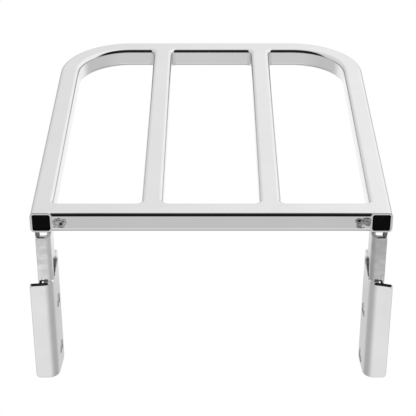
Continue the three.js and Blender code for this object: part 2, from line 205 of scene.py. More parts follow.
def coped_tube(start, end):
    """A straight tube in plan. Past its start and end, which lie on the neighbours' walls, a point
    at height z runs on by r - sqrt(r * r - lift * lift), where lift is how far z is into the
    neighbour's rounded edge of radius r."""
    start, end = np.array(start), np.array(end)
    along = (end - start) / np.linalg.norm(end - start)
    across = np.array([along[1], -along[0]])
    share = np.linspace(0, 1, COPED_STATIONS)

    def skin(side, radius):
        """The outside or the bore: start + run * along + across, run going from -reach to the end's
        reach in even shares."""
        section = rounded_square(side, radius)
        lift = np.clip(np.abs(section[:, 1]) - (TUBE / 2 - TUBE_CORNER), 0, TUBE_CORNER)
        reach = TUBE_CORNER - np.sqrt(TUBE_CORNER**2 - lift**2) + COPE_OVERLAP * (1 - lift / TUBE_CORNER)
        length = np.linalg.norm(end - start) + 2 * reach
        run = share[:, None] * length[None, :] - reach[None, :]
        plan = start + run[..., None] * along + section[None, :, :1] * across
        height = np.broadcast_to(TUBE_MIDDLE_Z + section[None, :, 1:], plan.shape[:2] + (1,))
        return np.concatenate([plan, height], -1)

    bore = skin(TUBE - 2 * TUBE_WALL, BORE_CORNER)
    shell = np.concatenate([skin(TUBE, TUBE_CORNER), bore[::-1]])
    return shell, grid_faces(shell.shape[0], shell.shape[1], True, True).tolist()


rail_wall = RAIL_X - TUBE / 2
cross_y = FRONT_Y + TUBE / 2
add_piece("front_tube", *coped_tube((-rail_wall, cross_y), (rail_wall, cross_y)), tube_chrome, "chrome_tube",
          "front_cross_tube")
for name, sign in (("left", -1), ("right", 1)):
    slat = coped_tube((sign * SLAT_X, FRONT_Y + TUBE), (sign * SLAT_X, REAR_Y - TUBE))
    add_piece(f"slat_tube_{name}", *slat, tube_chrome, "chrome_tube", f"slat_{name}")


# ---------------------------------------------------------------------------------------------
# Corner welds of the deck: weld metal in the upright corners where slats, cross tube and rails
# meet, dressed with a file and plated over, so the tubes' rounded edges flow round the corner.
# ---------------------------------------------------------------------------------------------
SLAT_FILLET = 4.0 * MM
RAIL_FILLET = 2.6 * MM
FILLET_PROUD = 0.012 * MM  # the weld stands this much over the flats that it covers
FILLET_STEPS = 20


def solid_of_rings(rings):
    """Closed outlines set one after another, skinned with quads and closed by a face at each end."""
    count, size = rings.shape[:2]
    faces = grid_faces(count, size, False, True).tolist()
    return rings, faces + [list(range(size)), list(range((count - 1) * size, count * size))]


def fillet(corner_x, corner_y, toward_x, toward_y, radius):
    """A quarter ring round an upright axis in the open corner. Its section is a tube's edge: flat
    top, quarter circle, upright wall, quarter circle, flat bottom. It reaches back as far as the
    crossing of the two neighbours' rounded edges."""
    centre_x, centre_y = corner_x - toward_x * radius, corner_y - toward_y * radius
    turn = np.linspace(0, np.pi / 2, CORNER_STEPS + 1)
    top = DECK_TOP + FILLET_PROUD
    reach = (radius + TUBE_CORNER) * math.sqrt(2)
    rim = radius + TUBE_CORNER
    edge = np.stack([rim - TUBE_CORNER * np.sin(turn), top - TUBE_CORNER * (1 - np.cos(turn))], -1)
    upper = np.vstack([[reach, top], [rim + EASE, top], edge, [radius, top - TUBE_CORNER - EASE]])
    lower = np.stack([upper[::-1, 0], 2 * TUBE_MIDDLE_Z - upper[::-1, 1]], -1)
    profile = np.vstack([upper, lower])
    sweep = np.linspace(0, np.pi / 2, FILLET_STEPS + 1)[:, None]
    x = centre_x + toward_x * profile[None, :, 0] * np.cos(sweep)
    y = centre_y + toward_y * profile[None, :, 0] * np.sin(sweep)
    z = np.broadcast_to(profile[None, :, 1], x.shape)
    return solid_of_rings(np.stack([x, y, z], -1))


front_wall, rear_wall = FRONT_Y + TUBE, REAR_Y - TUBE
for name, sign in (("left", -1), ("right", 1)):
    for place, away in (("outer", sign), ("inner", -sign)):
        slat_wall = sign * SLAT_X + away * TUBE / 2
        for end, wall, back in (("front", front_wall, -1), ("rear", rear_wall, 1)):
            add_piece(f"slat_{end}_fillet_{place}_{name}", *fillet(slat_wall, wall, -away, back, SLAT_FILLET),
                      tube_chrome, "chrome_weld", f"slat_{end}_weld_{place}_{name}")
    add_piece(f"rail_corner_fillet_{name}", *fillet(sign * rail_wall, front_wall, sign, -1, RAIL_FILLET),
              tube_chrome, "chrome_weld", f"cross_tube_corner_weld_{name}")


# ---------------------------------------------------------------------------------------------
# Front welds beside the plugs: the joint of cross tube and rail is welded across the front face
# and ground nearly flush, which leaves a shallow blotchy patch and one drop of metal, plated over.
# ---------------------------------------------------------------------------------------------
PATCH_PROUD = 0.14 * MM
PATCH_SUNK = 0.06 * MM
PATCH_STEPS = 96
PATCH_SPREAD = {"inner": 2.2 * MM, "outer": 1.0 * MM}  # ground metal past the joint's own weld
PATCH_SHOULDER = 0.6  # share of the half width over which the patch rises from its rim
RIM_WAVER = 0.12  # share of the half width by which the rim wanders
RIM_WAVE = 5 * MM
COARSE_BLOTCH = 0.2 * MM
COARSE_WAVE = 3.8 * MM
FINE_BLOTCH = 0.07 * MM
FINE_WAVE = 1.5 * MM
DROP_RADIUS = 1.2 * MM
DROP_HEIGHT = 0.65 * MM
DROP_PLACE = {"left": (3.0 * MM, -1.6 * MM), "right": (0.8 * MM, 0.8 * MM)}  # from inner end, mid-height
# Bright and deep tint of each patch. The right pair is darker than the left, and that difference is painted
# shade.
PATCH_LIT_AND_SHADED_TINTS = {"left": ("#d8d8d8", "#6a6a6b"), "right": ("#bcbcbc", "#404041")}


def wobble(points, size, seed):
    """Smooth noise from about -1 to 1: eight sine waves about size long, in scattered directions."""
    scatter = np.random.default_rng(seed)
    directions = scatter.normal(size=(8, 3))
    directions /= np.linalg.norm(directions, axis=1, keepdims=True)
    lengths = size * scatter.uniform(0.7, 1.8, 8)
    waves = np.sin(2 * np.pi * (points @ directions.T) / lengths + scatter.uniform(0, 2 * np.pi, 8))
    return waves.sum(-1) / 4


def front_patch(name, sign, seed):
    """Two sheets over the same grid u, v from -1 to 1. The front one is proud in the middle and
    sinks at a rim where (|u| cubed + |v| to the power 6) to the power 1/3, plus noise, is 1. Two
    sizes of smooth noise are added, and a drop with the profile of a bell curve."""
    low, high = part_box("cross_tube_front_weld_right")
    u, v = np.meshgrid(np.linspace(-1, 1, PATCH_STEPS), np.linspace(-1, 1, PATCH_STEPS))
    middle_z = (high.z + low.z) / 2
    x = np.interp(u, [-1, 1], [low.x - PATCH_SPREAD["inner"], high.x + PATCH_SPREAD["outer"]])
    z = middle_z + (high.z - low.z) / 2 * v
    flat = np.stack([x, np.zeros_like(x), z], -1)
    edge = (np.abs(u) ** 3 + np.abs(v) ** 6) ** (1 / 3) + RIM_WAVER * wobble(flat, RIM_WAVE, seed)
    rise = np.clip((1 - edge) / PATCH_SHOULDER, 0, 1)
    rise = rise * rise * (3 - 2 * rise)
    along, up = DROP_PLACE[name]
    drop = np.exp(-((x - low.x - along) ** 2 + (z - middle_z - up) ** 2) / DROP_RADIUS**2)
    blotch = COARSE_BLOTCH * wobble(flat, COARSE_WAVE, seed + 1)
    blotch += FINE_BLOTCH * wobble(flat, FINE_WAVE, seed + 2)
    height = (PATCH_PROUD + PATCH_SUNK) * rise - PATCH_SUNK + blotch * rise + DROP_HEIGHT * drop
    front = np.stack([sign * x, FRONT_Y - height, z], -1)
    back = np.stack([sign * x, np.full_like(x, FRONT_Y + TUBE_WALL), z], -1)
    return front, back


def around(index):
    """The rim of a grid of indices, counter-clockwise: along the first row, up the last column,
    back along the last row and down the first column."""
    return np.concatenate([index[0, :-1], index[:-1, -1], index[-1, :0:-1], index[:0:-1, 0]])


def strip(first, second):
    """Quads between two closed loops of indices that match one to one."""
    return np.stack([first, np.roll(first, -1), np.roll(second, -1), second], -1)


def two_sheets(front, back):
    """Two sheets over one grid, closed by a strip of quads round their rims."""
    rows, columns = front.shape[:2]
    count = rows * columns
    rim = around(np.arange(count).reshape(rows, columns))
    sheet = grid_faces(rows, columns)
    faces = np.concatenate([sheet, sheet + count, strip(rim, rim + count)])
    return np.concatenate([front.reshape(-1, 3), back.reshape(-1, 3)]), faces.tolist()


# Plating over ground weld metal is blotched light and dark, and its shine is broken up. Both patches are the
# same plating: the right patch's darker tints are painted shade.
for name, sign, seed in (("left", -1, 11), ("right", 1, 23)):
    ground_weld_chrome = chrome(f"chrome_over_ground_weld_{name}", *PATCH_LIT_AND_SHADED_TINTS[name], cloud_size=2 * MM,
                                roughness=(0.08, 0.25), wave=3 * MM, height=0.09 * MM, ripple=0.8 * MM,
                                ripple_height=0.025 * MM)
    add_piece(f"front_weld_patch_{name}", *two_sheets(*front_patch(name, sign, seed)), ground_weld_chrome,
              "chrome_weld", f"cross_tube_front_weld_{name}")


# ---------------------------------------------------------------------------------------------
# End plugs: black polyethylene mouldings pushed into the rails' open ends. The face sits just
# inside the tube, and thin fins on the hollow stem behind it grip the bore.
# ---------------------------------------------------------------------------------------------
PLUG_WALL = 1.2 * MM
PLUG_FACE = 2 * MM
PLUG_CORNER = 2 * MM
PLUG_EDGE = 0.4 * MM
PLUG_DISH = 0.15 * MM  # the face sinks towards its middle as the thick moulding shrinks
FIN_HEIGHT = 1 * MM
FIN_THICKNESS = 0.9 * MM
FIN_COUNT = 3
DISH_SHARES = (0.02, 0.3, 0.6, 0.85, 0.97)  # rings of the dished face, as shares of its width
PLUG_EDGE_RINGS = 5
MOULD_GRAIN = 0.35 * MM


def plug(sign):
    """Rounded squares carried back along the rail: a dished face, its edge as a quarter circle, the
    finned stem, and then the pocket from the open back to behind the face."""
    low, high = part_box("end_plug_right")
    face, length = high.x - low.x, high.y - low.y
    stem = face - 2 * FIN_HEIGHT
    pocket = stem - 2 * PLUG_WALL
    pitch = (length - PLUG_FACE - FIN_THICKNESS) / FIN_COUNT
    sizes = [((face - 2 * PLUG_EDGE) * share, PLUG_DISH * (1 - share**2)) for share in DISH_SHARES]
    for turn in np.linspace(0, np.pi / 2, PLUG_EDGE_RINGS):
        sizes.append((face - 2 * PLUG_EDGE * (1 - math.sin(turn)), PLUG_EDGE * (1 - math.cos(turn))))
    sizes += [(face, PLUG_FACE), (stem, PLUG_FACE)]
    for start in (PLUG_FACE + i * pitch for i in range(1, FIN_COUNT + 1)):
        sizes += [(stem, start), (face, start), (face, start + FIN_THICKNESS), (stem, start + FIN_THICKNESS)]
    sizes += [(pocket, length), (pocket, PLUG_FACE)]
    rings = []
    for side, depth in sizes:
        outline = rounded_square(side, min(PLUG_CORNER, side / 4))
        x = sign * ((low.x + high.x) / 2 + outline[:, 0])
        z = (low.z + high.z) / 2 + outline[:, 1]
        rings.append(np.stack([x, np.full_like(x, low.y + depth), z], -1))
    return solid_of_rings(np.array(rings))


def moulded_polyethylene():
    """Polyethylene coloured with carbon black, from a spark-eroded mould: a deep black with a fine
    even grain that spreads what little it reflects."""
    material = bpy.data.materials.new("black_polyethylene_moulded")
    material.use_nodes = True
    tree = material.node_tree
    shader = tree.nodes["Principled BSDF"]
    shader.inputs["IOR"].default_value = 1.5
    shader.inputs["Specular IOR Level"].default_value = 0.1
    place = node(tree, "ShaderNodeTexCoord").outputs["Object"]
    grain = node(tree, "ShaderNodeTexNoise",
                 inputs={"Vector": place, "Scale": 1 / MOULD_GRAIN, "Detail": 2.0})
    tone = node(tree, "ShaderNodeMix", {"data_type": "RGBA"},
                {"Factor": grain.outputs["Fac"], 6: linear("#030303"), 7: linear("#0a0a0a")})
    gloss = node(tree, "ShaderNodeMapRange", inputs={"Value": grain.outputs["Fac"], "To Min": 0.5,
                 "To Max": 0.7})
    bump = node(tree, "ShaderNodeBump", inputs={"Height": grain.outputs["Fac"], "Distance": 0.02 * MM})
    tree.links.new(tone.outputs[2], shader.inputs["Base Color"])
    tree.links.new(gloss.outputs["Result"], shader.inputs["Roughness"])
    tree.links.new(bump.outputs["Normal"], shader.inputs["Normal"])
    return material


plug_black = moulded_polyethylene()
for name, sign in (("left", -1), ("right", 1)):
    add_piece(f"end_plug_moulding_{name}", *plug(sign), plug_black, "black_plastic", f"end_plug_{name}")


# ---------------------------------------------------------------------------------------------
# Mounting plates: 3 mm steel plate cut to outline, drilled twice and bent to an angle whose web
# closes in a little to the rear. Tumbling breaks the edges before the plate is polished and plated.
# ---------------------------------------------------------------------------------------------
PLATE = 3 * MM
EDGE_BREAK = 0.45 * MM
TOP_BREAK = 1.4 * MM  # the flanges' top edges are filed to a slant
HOLE_BREAK = 0.3 * MM
TOP_CORNER = 1.6 * MM
RIM_BLEND = 4 * MM  # width over which the grid makes room for its rounded rim
EDGE_STEPS = 6
WEB_TOE = 0.075
MOUNT_BEND = 8 * MM
WEB_RISE = 13 * MM
SEAM_START = 7 * MM  # behind the front face
SEAM_RUN = 11 * MM
FLANGE_CORNER = 3 * MM
WEB_CORNER = 4 * MM
HOLE_RADIUS = 5 * MM
HOLE_SPACING = 40.3 * MM
HOLE_SETBACK = 17.8 * MM
HOLE_ROOM = 6 * MM  # half the square of plate that is meshed round a hole
HOLE_STEPS = 16
HOLE_FLOOR = 0.3 * MM  # the lower square stays this far above the plate's lower edge
FLANGE_COLUMNS = 6
BEND_COLUMNS = 24
ROWS_OVER_HOLE = 6
UPPER_HOLE_DROP = {"left": 82 * MM, "right": 90.3 * MM}
FLANGE_TOP_FALL = {"left": 0.6 * MM, "right": 1.5 * MM}
MOUNT_TOP_DROP = 56.7 * MM

mount_low, mount_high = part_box("mount_plate_right")
toe = math.atan(WEB_TOE)
turned = math.pi / 2 - toe  # the angle through which a bracket is bent
mount_depth = mount_high.y - mount_low.y
web_front_x = mount_low.x + WEB_TOE * mount_depth  # the webs' inner face at the rack's front
flange_top = DECK_TOP - MOUNT_TOP_DROP


def web_x(back):
    """x of the right web's inner face at a distance behind the rack's front: it closes in by
    WEB_TOE times that distance."""
    return web_front_x - WEB_TOE * back


class Pattern:
    """The flat pattern of a bent bracket. Its width w runs from the flange's free edge, straight to
    the bend, round the bend's arc and straight back along the web; its height h is the real z."""

    def __init__(self, edge_x, setback, bend, depth):
        """The flange is the straight length up to the bend, which is bend * tan(half the angle)
        short of the corner. The arc is bend * angle, and the end lies at the bracket's full depth."""
        self.edge_x, self.front, self.bend = edge_x, FRONT_Y + setback, bend
        self.flange = edge_x - web_x(setback) - bend * math.tan(turned / 2)
        self.arc = bend * turned
        self.end = self.across(depth)

    def across(self, back):
        """Width at a distance behind the bracket's own front face, on its web."""
        return self.flange + self.arc + (back - self.bend * (1 - math.cos(turned))) / math.sin(turned)

    def wrap(self, w, h, depth):
        """Flange, then bend.centre + (bend - depth) * outward normal, then straight on as the web."""
        angle = np.clip((w - self.flange) / self.bend, 0, turned)
        run = np.maximum(w - self.flange - self.arc, 0)
        radius = self.bend - depth
        x = self.edge_x - np.minimum(w, self.flange) - radius * np.sin(angle) - run * math.cos(turned)
        y = self.front + self.bend - radius * np.cos(angle) + run * math.sin(turned)
        return np.stack([x, y, h + 0 * w], -1)


def spaced(*pieces):
    """Sorted values, without those closer than a hundredth of a millimetre to the one before."""
    values = np.sort(np.concatenate([np.atleast_1d(piece) for piece in pieces]))
    return values[np.concatenate([[True], np.diff(values) > 0.01 * MM])]


def corner_cut(distance, radius):
    """How much a rounded corner of radius r takes off at a distance d from the edge:
    r - sqrt(r * r - (r - d) squared)."""
    return radius - np.sqrt(radius**2 - np.clip(radius - distance, 0, radius) ** 2)


def rows_between(levels, counts):
    """Heights of a grid's rows: each pair of neighbouring levels is divided evenly."""
    rows = [levels[0]]
    for low, high, count in zip(levels, levels[1:], counts):
        rows += [low + (high - low) * step / count for step in range(1, count + 1)]
    return np.array(rows)


def fade(distance):
    """1 at the rim, falling evenly to 0 at RIM_BLEND from it."""
    return np.clip(1 - distance / RIM_BLEND, 0, 1)[..., None]


def make_room(grid, shift):
    """Carries the shift of a grid's rim into the grid. Each side's shift fades out inwards, and
    where two sides meet, the corner's own shift is counted once: sides - corners."""
    w, h = grid[..., 0], grid[..., 1]
    left, right = fade(w - w[:, :1]), fade(w[:, -1:] - w)
    low, high = fade(h - h[:1]), fade(h[-1:] - h)
    sides = shift[:1] * low + shift[-1:] * high + shift[:, :1] * left + shift[:, -1:] * right
    low_corners = (shift[0, 0] * left + shift[0, -1] * right) * low
    high_corners = (shift[-1, 0] * left + shift[-1, -1] * right) * high
    return grid + sides - (low_corners + high_corners)


def bent_plate(pattern, columns, heights, top_break, holes):
    """The pattern's grid as two sheets a plate apart, joined all round by an edge that is a quarter
    circle, a flat and a quarter circle, or a slant, a flat and a slant where it is filed. Round each
    hole, a square of cells gives way to quads that run from the square to the circle."""
    size = heights.shape
    index = np.arange(heights.size).reshape(size)
    grid = np.stack([np.broadcast_to(columns, size), heights], -1)
    rim = around(index)
    outline = grid.reshape(-1, 2)[rim]
    travel = np.roll(outline, -1, 0) - np.roll(outline, 1, 0)
    inward = np.stack([-travel[:, 1], travel[:, 0]], -1)
    inward /= np.linalg.norm(inward, axis=1, keepdims=True)
    breaks = np.full(size, EDGE_BREAK)
    breaks[-1] = top_break
    breaks = breaks.ravel()[rim, None]
    shift = np.zeros((heights.size, 2))
    shift[rim] = breaks * inward
    flat = make_room(grid, shift.reshape(*size, 2)).reshape(-1, 2)
    edges = [(rim, outline, inward, breaks)]
    kept = np.ones((size[0] - 1, size[1] - 1), bool)
    faces = []
    for row, column, centre in holes:
        kept[row : row + HOLE_STEPS, column : column + HOLE_STEPS] = False
        loop = around(index[row : row + HOLE_STEPS + 1, column : column + HOLE_STEPS + 1])
        away = flat[loop] - centre
        away /= np.linalg.norm(away, axis=1, keepdims=True)
        ring = len(flat) + np.arange(len(loop))
        flat = np.vstack([flat, centre + (HOLE_RADIUS + HOLE_BREAK) * away])
        faces.append(strip(loop, ring))
        edges.append((ring, centre + HOLE_RADIUS * away, away, np.full((len(ring), 1), HOLE_BREAK)))
    sheet = np.concatenate([grid_faces(*size)[kept.ravel()], *faces])
    count = len(flat)
    points = [pattern.wrap(flat[:, 0], flat[:, 1], depth) for depth in (0, PLATE)]
    faces = [sheet, sheet + count]
    made = 2 * count
    turn = np.linspace(0, np.pi / 2, EDGE_STEPS + 1)[1:]
    slant = np.linspace(0, 1, EDGE_STEPS + 1)[1:]
    for loop, outline, into, radius in edges:
        filed = np.clip((radius - EDGE_BREAK) / (TOP_BREAK - EDGE_BREAK), 0, 1)
        inset = radius * (1 - np.sin(turn) + filed * (np.sin(turn) - slant))
        depth = radius * (1 - np.cos(turn) + filed * (np.cos(turn) - 1 + slant))
        inset, depth = np.hstack([inset, inset[:, ::-1]]), np.hstack([depth, PLATE - depth[:, ::-1]])
        before = loop
        for step in range(2 * EDGE_STEPS - 1):
            moved = outline + inset[:, step, None] * into
            points.append(pattern.wrap(moved[:, 0], moved[:, 1], depth[:, step]))
            ring = made + np.arange(len(loop))
            faces.append(strip(before, ring))
            before, made = ring, made + len(loop)
        faces.append(strip(before, loop + count))
    points, faces = np.concatenate(points), np.concatenate(faces)
    used, places = np.unique(faces, return_inverse=True)
    return points[used], places.reshape(faces.shape).tolist()


def mount_plate(name):
    """Columns stand closer in the bend, at the corners and by the holes. The top falls along the
    flange, is level to the seam and rises WEB_RISE in a straight slope; the bottom is level but for
    its rounded corners. Rows divide the height between the edges and a square round each hole."""
    pattern = Pattern(mount_high.x, 0, MOUNT_BEND, mount_depth)
    corner = 1 - np.cos(np.linspace(0, np.pi / 2, 10))
    hole = pattern.across(HOLE_SETBACK)
    seam_start, seam_end = pattern.across(SEAM_START), pattern.across(SEAM_START + SEAM_RUN)
    edge = EDGE_BREAK + EASE
    columns = spaced(
        FLANGE_CORNER * corner,
        [edge, pattern.end - edge, seam_start],
        np.linspace(FLANGE_CORNER, pattern.flange, FLANGE_COLUMNS),
        np.linspace(pattern.flange, pattern.flange + pattern.arc, BEND_COLUMNS),
        np.linspace(hole - HOLE_ROOM, hole + HOLE_ROOM, HOLE_STEPS + 1),
        pattern.end - WEB_CORNER * corner[corner < (pattern.end - hole - HOLE_ROOM) / WEB_CORNER],
    )
    fall_at = [0, pattern.flange, seam_start, seam_end, pattern.end]
    fall = flange_top + np.array([-FLANGE_TOP_FALL[name], 0, 0, WEB_RISE, WEB_RISE])
    top = np.interp(columns, fall_at, fall)
    top -= corner_cut(columns, TOP_CORNER) + corner_cut(pattern.end - columns, WEB_CORNER / 2)
    bottom = mount_low.z + corner_cut(columns, FLANGE_CORNER) + corner_cut(pattern.end - columns, WEB_CORNER)
    upper = DECK_TOP - UPPER_HOLE_DROP[name]
    lower = upper - HOLE_SPACING
    square = [hole_z + side + 0 * columns for hole_z in (lower, upper) for side in (-HOLE_ROOM, HOLE_ROOM)]
    square[0] = np.maximum(square[0], bottom + HOLE_FLOOR)
    levels = [bottom, (bottom + square[0]) / 2, *square, top - TOP_BREAK, top]
    counts = [1, 1, HOLE_STEPS, ROWS_OVER_HOLE, HOLE_STEPS, ROWS_OVER_HOLE, 2]
    lower_row, upper_row = sum(counts[:2]), sum(counts[:4])
    first = np.argmin(np.abs(columns - (hole - HOLE_ROOM)))
    holes = [(lower_row, first, (hole, lower)), (upper_row, first, (hole, upper))]
    top_break = np.interp(columns, [pattern.flange + pattern.arc, seam_start], [TOP_BREAK, EDGE_BREAK])
    return bent_plate(pattern, columns, rows_between(levels, counts), top_break, holes)


# Plate is polished less than tube, so what it mirrors wanders more and is a little softer.
plate_chrome = chrome("bright_chrome_on_bent_plate", "#ececec", "#e0e0e1", cloud_size=18 * MM,
                      roughness=(0.035, 0.07), wave=14 * MM, height=0.05 * MM, ripple=3 * MM,
                      ripple_height=0.0025 * MM)
for name, sign in (("left", -1), ("right", 1)):
    points, faces = mount_plate(name)
    add_piece(f"mounting_plate_{name}", points * (sign, 1, 1), faces, plate_chrome, "chrome_plate",
              f"mount_plate_{name}")


# ---------------------------------------------------------------------------------------------
# Struts: shorter angles of the same 3 mm plate. The web is welded up under the rail, the flange
# stops short of it and leaves a slit, and a tongue of the flange laps behind the mounting plate.
# ---------------------------------------------------------------------------------------------
STRUT_BEND = 5 * MM
STRUT_SLIT = 5.3 * MM
STRUT_GAP = 0.3 * MM
TONGUE_WIDTH = 2.2 * MM
TONGUE_CORNER = 0.9 * MM
STRUT_FLANGE_COLUMNS = 3
STRUT_BEND_COLUMNS = 20
STRUT_WEB_COLUMNS = 5
STRUT_ROWS = 8  # rows of cells up the plate, between its rims
# Bright and deep tint of each strut. The right pair is darker than the left, and that difference is painted
# shade.
STRUT_LIT_AND_SHADED_TINTS = {"left": ("#f2f2f2", "#dadada"), "right": ("#d6d6d7", "#b6b6b7")}

strut_low, strut_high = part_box("strut_right")
strut_setback = strut_low.y - FRONT_Y


def strut():
    """The top steps up from the flange to the web; the bottom steps from the tongue to the slope of
    the mounting plate's web, and follows it."""
    pattern = Pattern(strut_high.x, strut_setback, STRUT_BEND, strut_high.y - strut_low.y)
    corner = TONGUE_CORNER * (1 - np.cos(np.linspace(0, np.pi / 2, 6)))
    edge = EDGE_BREAK + EASE
    rise = pattern.flange + pattern.arc + EASE
    seam = pattern.across(SEAM_START - strut_setback)
    step = TONGUE_WIDTH + EASE
    columns = spaced(
        corner,
        [edge, pattern.end - edge, rise, rise + EASE, TONGUE_WIDTH, step, seam],
        TONGUE_WIDTH - corner,
        np.linspace(step, pattern.flange, STRUT_FLANGE_COLUMNS),
        np.linspace(pattern.flange, pattern.flange + pattern.arc, STRUT_BEND_COLUMNS),
        np.linspace(rise + EASE, pattern.end - edge, STRUT_WEB_COLUMNS),
    )
    under = DECK_TOP - TUBE
    seam_end = flange_top + WEB_RISE * (strut_high.y - FRONT_Y - SEAM_START) / SEAM_RUN
    top = np.interp(columns, [rise, rise + EASE], [under - STRUT_SLIT, under])
    top -= corner_cut(columns, TOP_CORNER)
    bottom_at = [TONGUE_WIDTH, step, seam, pattern.end]
    bottom = np.interp(columns, bottom_at, [strut_low.z, flange_top, flange_top, seam_end])
    bottom += corner_cut(columns, TONGUE_CORNER)
    levels = [bottom, bottom + edge, top - TOP_BREAK, top]
    bend_end = pattern.flange + pattern.arc
    top_break = np.interp(columns, [bend_end - STRUT_BEND / 3, bend_end], [TOP_BREAK, EDGE_BREAK])
    return bent_plate(pattern, columns, rows_between(levels, [1, STRUT_ROWS, 2]), top_break, [])


# Welded at both ends, a strut's plating is cloudy and uneven and mirrors in soft bands. Both struts are the
# same plating: the right one's darker, greyer tints are painted shade.
for name, sign in (("left", -1), ("right", 1)):
    strut_chrome = chrome(f"bright_chrome_on_heated_plate_{name}", *STRUT_LIT_AND_SHADED_TINTS[name], cloud_size=6 * MM,
                          roughness=(0.05, 0.12), wave=9 * MM, height=0.10 * MM, ripple=1.6 * MM,
                          ripple_height=0.008 * MM)
    points, faces = strut()
    add_piece(f"strut_plate_{name}", points * (sign, 1, 1), faces, strut_chrome, "chrome_plate",
              f"strut_{name}")


# ---------------------------------------------------------------------------------------------
# Bracket welds: short beads of weld metal, left as laid and plated over. One closes the sloping
# seam of the webs, one runs under the rail, one ties the two flanges, and a tack bridges the slit.
# ---------------------------------------------------------------------------------------------
PUDDLE = 1.5 * MM  # the bead grows by one frozen puddle at a time
PUDDLE_HEIGHT = 0.07  # share of the radius
LUMP = 0.12  # share of the radius
LUMP_WAVE = 2.6 * MM
BEAD_RINGS = 72
BEAD_SIDES = 28
SEAM_RADII = (0.6 * MM, 1.7 * MM)  # thin along the seam, with a blob at its upper end
SEAM_END = 0.8 * MM
RAIL_BEAD_RADII = (2.0 * MM, 2.0 * MM)
RAIL_BEAD_DROP = 0.2 * MM
FLANGE_BEAD_RADII = (1.0 * MM, 1.0 * MM)
TACK_RADII = (1.5 * MM, 1.5 * MM)
TACK_OVERRUN = 1.0 * MM  # the tack runs this far into the strut and into the rail


def bead(start, end, radii, seed):
    """A round rod along a line, half sunk in what it joins. Its radius goes smoothly from the first
    to the second, times a rounded taper to both ends and a bump for each puddle, plus smooth lumps."""
    start, end = np.array(start), np.array(end)
    along = (end - start) / np.linalg.norm(end - start)
    off_line = [0.3, 0.2, 1.0] if abs(along[2]) < 0.9 else [1.0, 0.2, 0.0]  # well away from along
    side = np.cross(along, off_line)
    side /= np.linalg.norm(side)
    turn = np.linspace(0, 2 * np.pi, BEAD_SIDES, endpoint=False)[:, None]
    spoke = np.cos(turn) * side + np.sin(turn) * np.cross(along, side)
    share = (1 - np.cos(np.linspace(0.08, np.pi - 0.08, BEAD_RINGS))) / 2
    taper = (1 - (2 * share - 1) ** 6) ** 0.5
    bumps = 1 + PUDDLE_HEIGHT * np.abs(np.sin(np.pi * share * np.linalg.norm(end - start) / PUDDLE))
    radius = radii[0] + (radii[1] - radii[0]) * share**2 * (3 - 2 * share)
    centre = start + share[:, None] * (end - start)
    rings = centre[:, None] + (radius * taper * bumps)[:, None, None] * spoke
    lumps = LUMP * (radius * taper)[:, None] * wobble(rings, LUMP_WAVE, seed)
    return solid_of_rings(rings + lumps[..., None] * spoke)


# Weld metal left as laid is rough under its plating, which gives a dull, light shine.
bead_chrome = chrome("dull_chrome_over_laid_weld", "#e6e6e6", "#b4b4b5", cloud_size=3 * MM,
                     roughness=(0.4, 0.55), wave=4 * MM, height=0.04 * MM, ripple=1.2 * MM,
                     ripple_height=0.006 * MM)
# A burnt tack takes the plating badly: dark blotches in a broken shine.
tack_chrome = chrome("chrome_over_burnt_tack", "#a8a8a8", "#3a3a3b", cloud_size=2 * MM,
                     roughness=(0.1, 0.25), wave=3 * MM, height=0.09 * MM, ripple=0.8 * MM,
                     ripple_height=0.02 * MM)
for name, sign, seed in (("left", -1, 40), ("right", 1, 60)):
    low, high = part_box(f"web_seam_weld_{name}")
    ends = [(sign * web_x(y - FRONT_Y), y, z) for y, z in
            ((low.y + SEAM_END, low.z + SEAM_END), (high.y - SEAM_END, high.z - SEAM_END))]
    add_piece(f"seam_bead_{name}", *bead(*ends, SEAM_RADII, seed), bead_chrome, "chrome_weld",
              f"web_seam_weld_{name}")

    low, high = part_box(f"strut_top_weld_{name}")
    under = DECK_TOP - TUBE - RAIL_BEAD_DROP
    ends = [(sign * web_x(y - FRONT_Y), y, under) for y in (low.y, high.y + STRUT_GAP)]
    add_piece(f"rail_bead_{name}", *bead(*ends, RAIL_BEAD_RADII, seed + 1), bead_chrome, "chrome_weld",
              f"strut_top_weld_{name}")

    low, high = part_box(f"flange_top_weld_{name}")
    near, far = sorted((abs(low.x), abs(high.x)))
    ends = [(sign * near, high.y, low.z), (sign * far, high.y, low.z)]
    add_piece(f"flange_bead_{name}", *bead(*ends, FLANGE_BEAD_RADII, seed + 2), bead_chrome, "chrome_weld",
              f"flange_top_weld_{name}")

    low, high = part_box(f"strut_corner_tack_{name}")
    middle_x, middle_y = (low.x + high.x) / 2, (low.y + high.y) / 2
    past = STRUT_GAP + TACK_OVERRUN
    ends = [(middle_x, middle_y, low.z - past), (middle_x, middle_y, high.z + past)]
    add_piece(f"corner_tack_{name}", *bead(*ends, TACK_RADII, seed + 3), tack_chrome, "chrome_weld",
              f"strut_corner_tack_{name}")


# ---------------------------------------------------------------------------------------------
# Camera. It stands in front of the rack and a little above it, as someone about to load it would,
# and looks straight along the deck through a long lens.
# ---------------------------------------------------------------------------------------------
CAMERA_PLACE = (0, -808.7 * MM, 478.0 * MM)
CAMERA_PITCH = 30.6  # degrees below level
CAMERA_LENS = 121.15  # focal length in millimetres
CAMERA_SENSOR = 36.0  # width in millimetres
CAMERA_SHIFT = -0.0079  # share of the sensor's width
CAMERA_REACH = (0.01, 400)  # metres: nothing nearer or farther is drawn

camera = bpy.data.objects.new("camera", bpy.data.cameras.new("camera"))
bpy.context.scene.collection.objects.link(camera)
camera.location = CAMERA_PLACE
camera.rotation_euler = (math.radians(90 - CAMERA_PITCH), 0, 0)
camera.data.lens = CAMERA_LENS
camera.data.sensor_width = CAMERA_SENSOR
camera.data.shift_x = CAMERA_SHIFT
camera.data.clip_start, camera.data.clip_end = CAMERA_REACH
bpy.context.scene.camera = camera
bpy.context.scene.view_settings.view_transform = "Standard"


